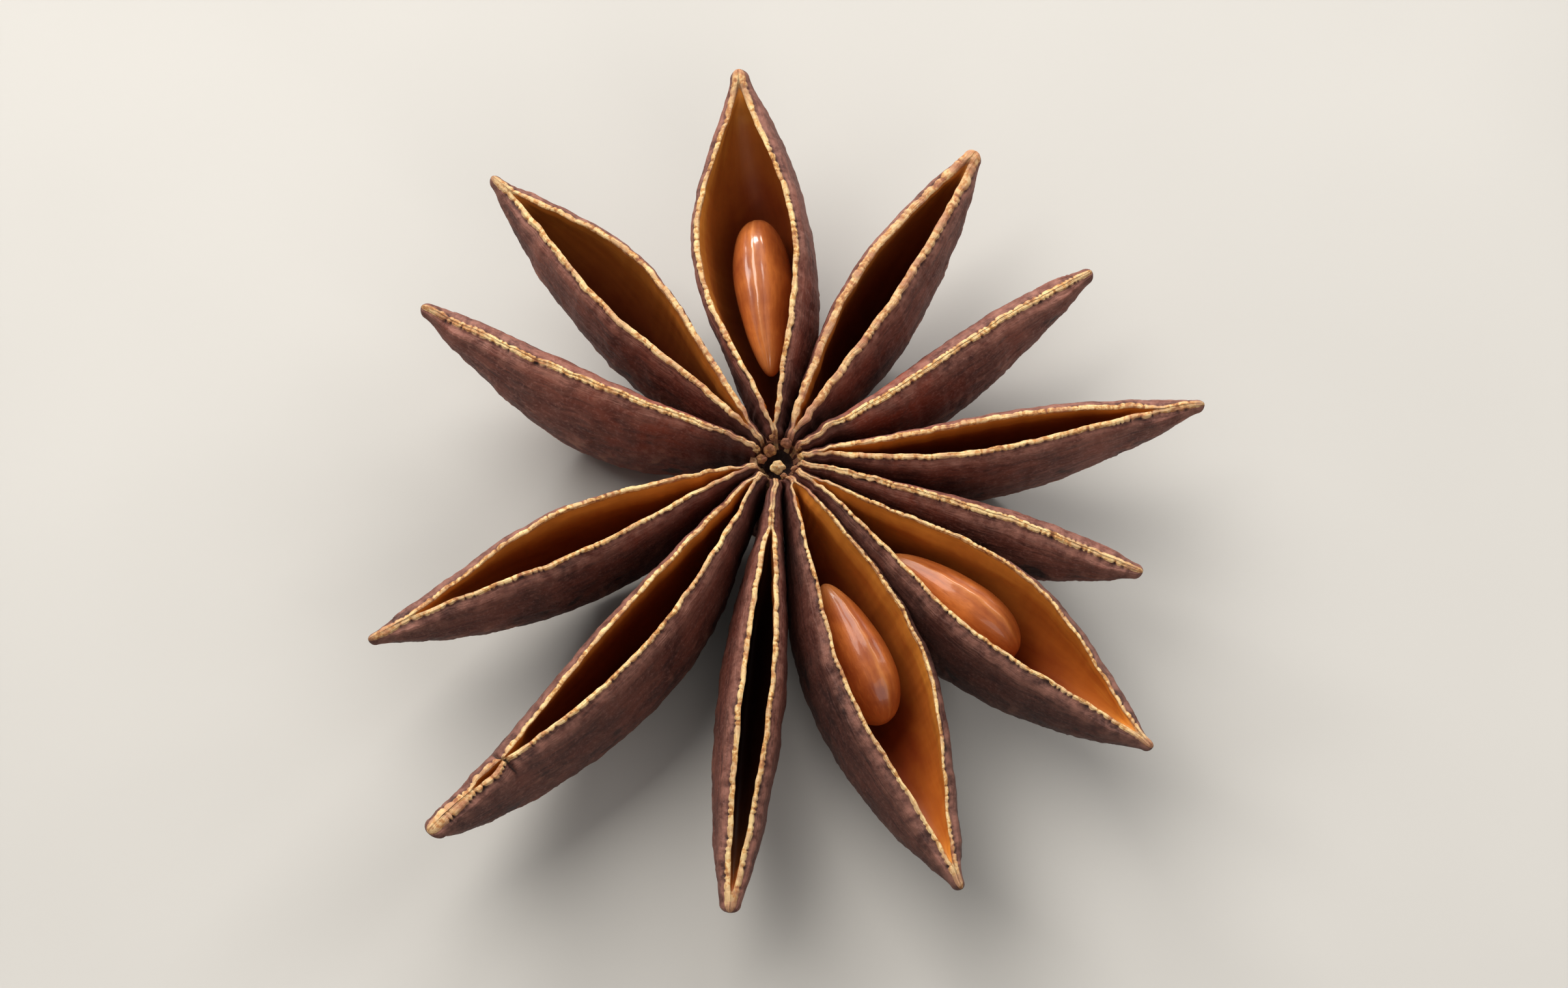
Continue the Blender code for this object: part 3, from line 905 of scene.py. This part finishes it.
    def wall(self, cut: Cut, side: int) -> Strip:
        """Lays out one wall of the hollow, from the lip down to the floor."""
        r = np.linspace(0.0, 1.0, self.hollow_columns)[None, :] ** 1.25
        under = r * cut.hollow_depth
        q = under / cut.full
        skin = (cut.inner + cut.wide_lip) * (1.0 - q) + cut.girth * hump(q, *BULGE)
        thick = cut.wide_lip + (WALL - cut.wide_lip) * smooth(0.0, 0.15, q)
        v = cut.inner * (1.0 - r**2.2)
        v = v + (np.maximum(skin - thick, 0.0) * np.sqrt(1.0 - r**4) - v) * cut.opened
        return Strip(
            v=side * v + cut.aside(under), w=cut.band(v) + self.bead_rise * cut.beaded * (1.0 - r) - under,
            bead=1.0 - 0.6 * cut.parted, lip=smooth(0.1, 0.02, under), hollow=smooth(0.02, 0.1, under),
            depth=np.clip(under / 7.0, 0.0, 1.0),
        )

    def cut(self, t: Array) -> Cut:
        """Works out the sizes of the sections.

        Args:
            t: Shares of the length, one for each section.

        Returns:
            The sizes, each as a column.
        """
        plan = self.plan
        t = t[:, None]
        out = self.out(t)
        narrow = self.squeeze(t)
        half_open = self.opening(t) * narrow
        opened = smooth(0.02, 0.4, half_open)
        parted = smooth(0.0, 0.14, half_open)
        tip = smooth(TIP_FROM, 1.0, t)
        full = self.depth(t)
        line = np.stack([out * 0.9, np.full_like(out, self.seed * 1.37), 0.0 * out], axis=-1)
        uneven = Grain(self.seed + 300)
        lip = self.closed_lip + (plan.rim - self.closed_lip) * parted
        lip = lip + (plan.tip_rim - lip) * smooth(0.88, 1.0, t) * (plan.gape > 0.0)
        lip = np.maximum(lip, self.root_lip * smooth(3.4, 1.4, out)) * (1.0 + 0.3 * uneven.at(line * 1.4))
        groove = 0.16 * parted * (1.0 - 0.5 * tip)
        floor = SEED_FLOOR if plan.seed_at else FLOOR
        beaded = smooth(0.06, 0.2, t) * smooth(1.0, 0.97, t)
        if plan.crack_at:
            beaded = beaded * (1.0 + 1.6 * smooth(plan.crack_at, plan.crack_at + 0.01, t))
        wander = 0.07 * uneven.at(line) + (0.03 + 0.07 * smooth(4.5, 2.0, out)) * uneven.at(line * 2.7 + 5.0)
        return Cut(
            t=t, out=out, full=full, girth=self.half_girth(t) * narrow,
            inner=np.maximum(half_open, 0.015 + 0.03 * parted), lip=lip,
            wide_lip=LIP * narrow + (plan.blunt / 4.0 - LIP * narrow) * tip,
            hollow_depth=groove + (full - floor - groove) * opened, opened=opened, parted=parted,
            bowed=self.bowed(t) + wander * smooth(0.0, 0.03, t) * smooth(1.0, 0.9, t), beaded=beaded,
        )

    def sections(self, t: Array) -> tuple[Array, Array, dict[str, Array]]:
        """Lays out every section in its own plane, round from the keel and back to it.

        Args:
            t: Shares of the length, one for each section.

        Returns:
            How far aside and how far up each point lies, and the vertex values.
        """
        cut = self.cut(t)
        strips = [self.flank(cut, 1).turned(), self.crest(cut, 1), self.wall(cut, 1)]
        strips += [self.wall(cut, -1).turned(drop=1), self.crest(cut, -1).turned(), self.flank(cut, -1)]
        joined = {
            item.name: np.concatenate([strip.spread(item.name) for strip in strips], axis=1)
            for item in fields(Strip)
        }
        return joined.pop("v"), joined.pop("w"), joined

    def placed(self, t: Array, v: Array, w: Array) -> Array:
        """Puts the sections into the fruit, leaned over.

        Args:
            t: Shares of the length.
            v: Distances aside.
            w: Distances up from the seam.

        Returns:
            The points in millimetres.
        """
        axes = Axes.towards(self.plan.azimuth)
        leaned = axes.leaned((math.radians(self.plan.lean) * smooth(0.0, LEAN_FROM, t))[:, None, None])
        seam = HUB + self.out(t)[:, None] * axes.outward + self.seam_height(t)[:, None] * axes.upward
        return seam[:, None, :] + leaned.across * v[..., None] + leaned.upward * w[..., None]

    @staticmethod
    def normals(places: Array) -> Array:
        """Gives the outward directions of a grid that is closed round its rows."""
        around = np.roll(places, -1, axis=1) - np.roll(places, 1, axis=1)
        normal = np.cross(np.gradient(places, axis=0), around)
        normal = normal / np.maximum(np.linalg.norm(normal, axis=-1, keepdims=True), 1e-9)
        middle = places.mean(axis=1, keepdims=True)
        outward = np.sum(normal[:, 0] * (places[:, 0] - middle[:, 0])) >= 0.0
        return normal if outward else -normal

    def relief(
        self, places: Array, v: Array, w: Array, values: dict[str, Array], t: Array
    ) -> tuple[Array, Array]:
        """Works out the dried skin's folds and puckers, most of which run along the carpel.

        Args:
            places: The smooth points.
            v: Distances aside in the sections.
            w: Distances up from the seam in the sections.
            values: The vertex values.
            t: Shares of the length.

        Returns:
            How far each point moves outward, and how high it stands on its folds from 0 to 1.
        """
        grain = Grain(self.seed)
        fold = values["fold"]
        warp = np.stack([grain.at(places * 0.35 + shift) for shift in (0.0, 31.0, 57.0)], axis=-1)
        big = grain.folds(places * 0.34 + warp * 0.55, 2)
        far = (self.plan.reach * t)[:, None]
        lengthwise = np.stack([0.42 * far + 0.0 * v, 1.5 * v + 0.25 * far, 1.5 * w], axis=-1)
        middle = grain.folds(lengthwise + warp * 0.7 + 9.0, 3)
        small = grain.at(places * 2.7 + 5.0)
        fade = smooth(1.0, 0.94, t)[:, None] * smooth(0.0, 0.1, t)[:, None]
        move = fold * (self.fold_height * (big - 0.6) + self.pucker_height * (middle - 0.55))
        move = move + (0.018 * small + 0.02 * (middle - 0.5)) * values["outer"]
        move = move + 0.05 * grain.at(places * 0.8 + 3.0) * smooth(0.0, 0.4, fold + 0.1)
        height = 0.5 + fold * (0.9 * (big - 0.6) + 0.9 * (middle - 0.55)) + 0.12 * small
        return move * fade, np.clip(height, 0.0, 1.0)

    def rounded(self, places: Array) -> Array:
        """Closes both ends of the skin, the tip with a round nose and the root flat.

        Args:
            places: The rows of points.

        Returns:
            The rows with both ends brought to a point.
        """
        outward = Axes.towards(self.plan.azimuth).outward
        last = places[-1]
        centre = last.mean(axis=0)
        nose = 0.3 + 0.12 * self.plan.blunt
        turn = (math.pi / 2.0 * np.arange(1, self.nose_rows + 1) / self.nose_rows)[:, None, None]
        tip = centre + (last - centre) * np.cos(turn) + outward * nose * np.sin(turn)
        root = np.broadcast_to(places[0].mean(axis=0), last.shape)
        return np.concatenate([root[None], places, tip], axis=0)

    def build(self) -> bpy.types.Object:
        """Builds the piece.

        Returns:
            The finished object.
        """
        plan = self.plan
        t = np.linspace(0.0, 1.0, int(plan.reach / self.step))
        v, w, values = self.sections(t)
        places = self.placed(t, v, w)
        move, height = self.relief(places, v, w, values, t)
        places = places + self.normals(places) * move[..., None]
        far = t[:, None]
        out = self.out(far)
        pink = np.maximum(smooth(4.6, 1.8, out), 0.75 * smooth(0.9, 0.98, far))
        pink = np.maximum(pink, plan.blush)
        recess_shade = 0.0
        if plan.crack_at:
            wander = 0.012 * Grain(5).at(places * 1.1)
            # The split's mask both dents the skin and paints shade into it.
            recess_shade = np.exp(-(((far + wander - plan.crack_at) / self.crack_width) ** 2))
            recess_shade = recess_shade * smooth(0.16, 0.04, values["depth"]) * values["outer"]
            places[..., 2] -= self.crack_depth * recess_shade
            pink = np.maximum(pink, 0.7 * smooth(plan.crack_at, plan.crack_at + 0.02, far))
        places[..., 2] = np.maximum(places[..., 2], 0.0)
        values |= {
            "border": values["border"] * smooth(1.5, 6.0, out), "crest": height, "recess_shade": recess_shade, "root": pink,
            "painted_glow": plan.painted_glow, "rust": plan.rust * (0.3 + 1.3 * smooth(0.7, 0.15, far)),
            # Painted shade: the arm's own share, and more close to the column.
            "dusk_shade": np.maximum(plan.dusk_shade, 0.6 * smooth(5.5, 2.0, out)),
        }
        for key, value in values.items():
            value = np.pad(np.broadcast_to(value, v.shape), ((1, self.nose_rows), (0, 0)), mode="edge")
            values[key] = np.append(value, value[:, :1], axis=1)
        if plan.gape > 0.0 and plan.tip_rim <= 0.3:
            values["lip"][-self.nose_rows :] *= self.nose_lip
        places = self.rounded(places)
        return skinned(plan.name, np.append(places, places[:, :1], axis=1), values, self.finish)


@dataclass
class Column:
    """The short column in the middle, with the dried dimple on top of it."""

    finish: bpy.types.Material
    rim: float = 6.7
    dimple_radius: float = 0.95
    dimple_depth: float = 0.9
    radius: float = 1.35
    waist: float = 5.0
    foot: float = 3.0
    foot_radius: float = 1.6
    finer: int = 6
    segments: int = 144

    def build(self) -> bpy.types.Object:
        """Builds the column.

        Returns:
            The finished object.
        """
        dimple, rim, floor = self.dimple_radius, self.rim, self.rim - self.dimple_depth
        profile = np.array([
            (0.0, floor), (dimple * 0.5, floor + 0.05), (dimple * 0.85, floor + 0.3), (dimple, rim - 0.2),
            (dimple * 1.08, rim), (self.radius, rim - 0.15), (self.radius * 1.1, self.waist),
            (self.foot_radius * 1.1, self.foot + 0.5), (self.foot_radius, self.foot), (0.0, self.foot),
        ])
        at = np.arange(self.finer * (len(profile) - 1) + 1) / self.finer
        radius, height = (np.interp(at, range(len(profile)), part)[:, None] for part in profile.T)
        angle = np.linspace(0.0, 2.0 * math.pi, self.segments + 1)
        places = np.stack([radius * np.cos(angle), radius * np.sin(angle), height + 0.0 * angle], axis=-1)
        places = HUB + places
        rough = Grain(77).folds(places * 1.6, 3) - 0.5
        places[..., 2] += 0.16 * rough * smooth(0.0, 0.3, radius)
        return skinned("column", places, {
            "lip": 0.55 * smooth(dimple * 0.8, dimple * 1.1, radius), "crest": np.clip(0.3 + rough, 0.0, 1.0),
            # Painted shade: the dimple's floor is darkened toward near black, and the whole column is dimmed
            # by half.
            "root": 1.0, "depth": 0.6, "bead": rough + 0.5, "recess_shade": 0.8 * smooth(0.9, 0.6, radius),
            "rust": 0.4, "dusk_shade": 0.5,
        }, self.finish)


@dataclass
class Knob:
    """One small dried knob in the dimple or on its edge, placed from the column's middle."""

    finish: bpy.types.Material
    name: str
    x: float
    y: float
    z: float
    radius: float
    tone: float
    pink: float
    stretch: Triple = (1.0, 0.9, 1.3)
    rings: int = 24

    def build(self) -> bpy.types.Object:
        """Builds the knob.

        Returns:
            The finished object.
        """
        turn = np.linspace(0.0, math.pi, self.rings + 1)[:, None]
        angle = np.linspace(0.0, 2.0 * math.pi, 2 * self.rings + 1)[None, :]
        ball = np.sin(turn) * np.cos(angle), np.sin(turn) * np.sin(angle), np.cos(turn) + 0.0 * angle
        ball = np.stack(ball, axis=-1)
        lumpy = 1.0 + 0.3 * Grain(hash_of(self.name)).at(ball * 1.5)
        lumpy[0] = lumpy[0, 0]
        lumpy[-1] = lumpy[-1, 0]
        places = ball * (self.radius * lumpy)[..., None] * np.array(self.stretch)
        places = places + HUB + np.array([self.x, self.y, self.z])
        values = {"lip": 1.0, "crest": 0.5, "root": self.pink, "bead": self.tone}
        return skinned(self.name, places, values, self.finish)


@dataclass
class Stalk:
    """The broken stub of the stalk under the column."""

    finish: bpy.types.Material
    radius: float = 0.85
    flare: float = 1.6
    top: float = 3.6
    end: float = 1.1
    azimuth: float = -113.0
    drift: float = 1.5
    rings: int = 60
    segments: int = 96

    def build(self) -> bpy.types.Object:
        """Builds the stub.

        Returns:
            The finished object.
        """
        t = np.linspace(0.0, 1.0, self.rings)[:, None]
        angle = np.linspace(0.0, 2.0 * math.pi, self.segments + 1)[None, :]
        ribs = 1.0 + 0.07 * np.cos(5.0 * angle) + 0.03 * np.cos(13.0 * angle + 2.0 * t)
        radius = (self.radius + (self.flare - self.radius) * (1.0 - t) ** 2.2) * ribs
        height = self.top + (self.end - self.top) * t + 0.0 * angle
        places = np.stack([radius * np.cos(angle), radius * np.sin(angle), height], axis=-1)
        places = places + HUB + Axes.towards(self.azimuth).outward * (self.drift * t**1.8)[..., None]
        grain = Grain(23)
        rough = np.pad(grain.folds(places * 1.3, 3), ((1, 2), (0, 0)), mode="edge")
        places[..., 2] += 0.25 * (grain.at(places * 1.9) * smooth(0.9, 1.0, t))
        places[:, -1] = places[:, 0]
        ends = [np.broadcast_to(row[:-1].mean(axis=0), row.shape) for row in (places[0], places[-1])]
        inset = ends[1] + (places[-1] - ends[1]) * 0.55 + np.array([0.0, 0.0, 0.12])
        places = np.concatenate([ends[0][None], places, inset[None], ends[1][None]], axis=0)
        torn = np.zeros(rough.shape)
        torn[-3:] = 0.8
        return skinned("stalk", places, {
            "lip": torn, "crest": np.clip(rough, 0.0, 1.0), "root": 0.6, "depth": 0.7, "bead": 0.3,
            "rust": 0.3,
        }, self.finish)


@dataclass
class Seed:
    """One flattened oval seed on edge in its carpel, with a raised ridge along its upper edge."""

    plan: CarpelPlan
    node: str
    finish: bpy.types.Material
    ridge_height: float = 0.05
    furrow_depth: float = 0.02
    squareness: float = 2.25
    rings: int = 120
    segments: int = 144

    def stand(self) -> tuple[Array, Axes]:
        """Finds where the seed's solid stands.

        Returns:
            Its middle in millimetres, and its axes.
        """
        plan = self.plan
        arm = Carpel(plan, self.finish)
        here = np.array([plan.seed_at])
        full, bowed, height = arm.depth(here)[0], arm.bowed(here)[0], arm.seam_height(here)[0]
        down = SEED_SINK + SEED_HEIGHT / 2.0
        axes = Axes.towards(plan.azimuth)
        seam = HUB + axes.outward * arm.out(plan.seed_at) + axes.upward * height
        axes = axes.leaned(math.radians(plan.lean))
        aside = bowed * (1.0 - down / full) + plan.seed_aside
        centre = seam + axes.across * aside - axes.upward * down
        axes = axes.leaned(math.atan2(bowed, full)).swung(math.radians(plan.seed_turn))
        return centre, axes.dipped(math.radians(SEED_DIP))

    def oval(self, side: Array) -> Array:
        """Squares a sine or cosine round the section a little."""
        return np.sign(side) * np.abs(side) ** (2.0 / self.squareness)

    def build(self) -> bpy.types.Object:
        """Builds the seed.

        Returns:
            The finished object.
        """
        theta = np.linspace(0.0, math.pi, self.rings + 1)[:, None]
        angle = np.linspace(0.0, 2.0 * math.pi, self.segments + 1)[None, :]
        along = -np.cos(theta)
        waver = 0.05 * Grain(9).at(np.stack([4.0 * along, 0.0 * along, 0.0 * along], axis=-1))
        offset = np.abs((angle + waver + math.pi) % (2.0 * math.pi) - math.pi)
        crest = np.exp(-((offset / 0.06) ** 2)) * np.sin(theta) ** 0.7
        furrow = np.exp(-(((offset - 0.2) / 0.07) ** 2)) * np.sin(theta) ** 0.7
        stout = np.sin(theta) * (1.0 + SEED_TAPER * along)
        high = self.oval(np.cos(angle)) * SEED_HEIGHT / 2.0 * stout
        high = high + self.ridge_height * crest - self.furrow_depth * furrow
        wide = self.oval(np.sin(angle)) * SEED_THICKNESS / 2.0 * stout
        long = along * self.plan.seed_length / 2.0
        centre, axes = self.stand()
        places = centre + long[..., None] * axes.outward + wide[..., None] * axes.across
        places = places + high[..., None] * axes.upward
        lumps = 0.05 * Grain(hash_of(self.node)).at(places * 0.55) * np.sin(theta)
        places = places + lumps[..., None] * axes.across
        pale = np.maximum(0.3 * crest, 0.4 * smooth(-0.5, -1.0, along))
        values = {"ridge": pale, "furrow": 0.3 * furrow, "gloss": self.plan.seed_gloss}
        return skinned(f"{self.node}_dressed", places, values, self.finish, self.node, Slot.SEED)


def hash_of(name: str) -> int:
    """Gives a small steady number for a name."""
    return sum(ord(letter) * (index + 3) for index, letter in enumerate(name)) % 997


@dataclass(frozen=True)
class Studio:
    """The pale floor, the soft lights and the camera. Lengths here are in metres."""

    floor_side: float = 3.0
    lens: float = 90.0
    azimuth: float = 0.0
    elevation: float = 71.0
    distance: float = 0.192
    target: Triple = (0.0, 0.0, 0.005)

    def floor(self) -> None:
        """Lays the floor under the fruit."""
        bpy.ops.object.select_all(action="DESELECT")
        bpy.ops.mesh.primitive_plane_add(size=self.floor_side, location=(0.0, 0.0, 0.0))
        sheet = bpy.context.active_object
        sheet.name = "floor"
        sheet.data.materials.append(FloorFinish().build())

    def lamp(
        self, name: str, place: Triple, size: tuple[float, float], power: float, colour: Triple
    ) -> None:
        """Hangs one soft lamp that looks at the fruit.

        Args:
            name: Its name.
            place: Where it hangs.
            size: Its width and height.
            power: Its power in watts.
            colour: Its linear colour.
        """
        bpy.ops.object.light_add(type="AREA", location=place)
        lamp = bpy.context.active_object
        lamp.name = name
        lamp.data.shape = "RECTANGLE"
        lamp.data.size, lamp.data.size_y = size
        lamp.data.energy = power
        lamp.data.color = colour
        aim = Vector(self.target) - Vector(place)
        lamp.rotation_euler = aim.to_track_quat("-Z", "Y").to_euler()

    def lights(self) -> None:
        """Lights the fruit from the upper left, with a weak fill from the camera's side."""
        self.lamp("key", (-0.16, 0.17, 0.3), (0.3, 0.3), 1.4, (1.0, 0.96, 0.9))
        self.lamp("fill", (0.14, -0.28, 0.26), (0.3, 0.3), 0.42, (1.0, 0.95, 0.9))
        self.lamp("side", (0.25, 0.16, 0.14), (0.12, 0.12), 0.16, (1.0, 0.98, 0.95))
        self.lamp("strip_left", (-0.14, 0.3, 0.16), (0.18, 0.055), 0.6, (1.0, 0.98, 0.95))
        self.lamp("strip_right", (0.1, 0.3, 0.16), (0.18, 0.055), 0.6, (1.0, 0.98, 0.95))
        world = bpy.data.worlds.new("studio")
        world.use_nodes = True
        background = world.node_tree.nodes["Background"]
        background.inputs["Color"].default_value = (1.0, 0.985, 0.96, 1.0)
        background.inputs["Strength"].default_value = 0.2
        bpy.context.scene.world = world

    def camera(self) -> None:
        """Sets up the camera at the photograph's angle."""
        a, e = math.radians(self.azimuth), math.radians(self.elevation)
        back = Vector((math.sin(a) * math.cos(e), -math.cos(a) * math.cos(e), math.sin(e)))
        bpy.ops.object.camera_add(location=Vector(self.target) + back * self.distance)
        camera = bpy.context.active_object
        camera.name = "camera"
        camera.data.lens = self.lens
        camera.data.sensor_width = 36.0
        camera.data.clip_start = 0.005
        camera.rotation_euler = (-back).to_track_quat("-Z", "Y").to_euler()
        bpy.context.scene.camera = camera
        bpy.context.scene.view_settings.view_transform = "Standard"

    def build(self) -> None:
        """Sets the whole stage."""
        self.floor()
        self.lights()
        self.camera()


def main() -> None:
    """Builds every piece in order and reports each."""
    logging.basicConfig(level=logging.INFO, format="%(message)s")
    husk = HuskFinish().build()
    seed_coat = SeedFinish().build()
    pieces: list[bpy.types.Object] = []
    for number, plan in enumerate(PLANS, 1):
        pieces.append(Carpel(plan, husk, seed=number * 11).build())
    pieces += [Column(husk).build(), Stalk(husk).build()]
    pieces += [Knob(husk, f"knob_{number}", *sizes).build() for number, sizes in enumerate(KNOBS, 1)]
    holders = [plan for plan in PLANS if plan.seed_at]
    for number, plan in enumerate(holders, 1):
        pieces.append(Seed(plan, f"seed_{number}", seed_coat).build())
    for piece in pieces:
        LOG.info("%s: %d vertices", piece.name, len(piece.data.vertices))
    Studio().build()


if __name__ == "__main__":
    main()
